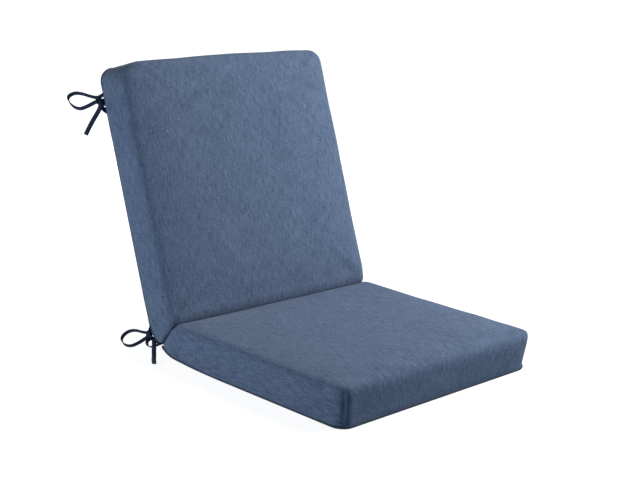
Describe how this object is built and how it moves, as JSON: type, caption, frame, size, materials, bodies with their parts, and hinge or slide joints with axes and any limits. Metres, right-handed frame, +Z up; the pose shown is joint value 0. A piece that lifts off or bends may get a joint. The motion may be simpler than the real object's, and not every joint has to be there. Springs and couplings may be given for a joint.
{
  "type": "chair seat pad",
  "caption": "Hinged chair pad: crowned seat and back cushions in one heather blue woven cover, joined by a sewn fold, with tied fabric straps at the back's rear edges.",
  "frame": {"origin": "middle of the seat section's flat underside, on the surface that it rests on", "axes": "+X across the pad, +Y from the seat's front edge towards the fold and the back section, +Z up"},
  "size_m": [0.5538, 0.6296, 0.4826],
  "materials": {
    "cover_fabric": "heather blue plain weave, matt",
    "seam_fabric": "the same cloth, folded and stitched",
    "thread": "navy polyester thread",
    "tie_fabric": "navy woven strap, matt",
    "wadding": "white polyester fibre wadding",
    "foam": "cream open-cell foam",
    "label": "plain white satin ribbon, blank"
  },
  "bodies": {
    "seat": {"care_label": "label", "hinge_seam": "seam_fabric", "hinge_stitching": "thread", "seat_base_cover": "cover_fabric", "seat_corner_seam_left": "thread", "seat_corner_seam_right": "thread", "seat_edge_seam": "seam_fabric", "seat_face_cover": "cover_fabric", "seat_foam_core": "foam", "seat_wadding_base": "wadding", "seat_wadding_top": "wadding"},
    "back": {"back_corner_seam_left": "thread", "back_corner_seam_right": "thread", "back_edge_seam": "seam_fabric", "back_face_cover": "cover_fabric", "back_foam_core": "foam", "back_rear_cover": "cover_fabric", "back_wadding_front": "wadding", "back_wadding_rear": "wadding", "lower_left_bartack": "thread", "lower_left_front_strap": "tie_fabric", "lower_left_knot": "tie_fabric", "lower_left_rear_strap": "tie_fabric", "lower_right_bartack": "thread", "lower_right_front_strap": "tie_fabric", "lower_right_knot": "tie_fabric", "lower_right_rear_strap": "tie_fabric", "top_left_bartack": "thread", "top_left_front_strap": "tie_fabric", "top_left_knot": "tie_fabric", "top_left_rear_strap": "tie_fabric", "top_right_bartack": "thread", "top_right_front_strap": "tie_fabric", "top_right_knot": "tie_fabric", "top_right_rear_strap": "tie_fabric"}
  },
  "joints": [
    {"name": "back_fold", "type": "hinge", "parent": "seat", "child": "back", "pos_m": [0, 0.2065, 0.01356], "axis": [-1, 0, 0], "range_deg": [0, 70]}
  ]
}
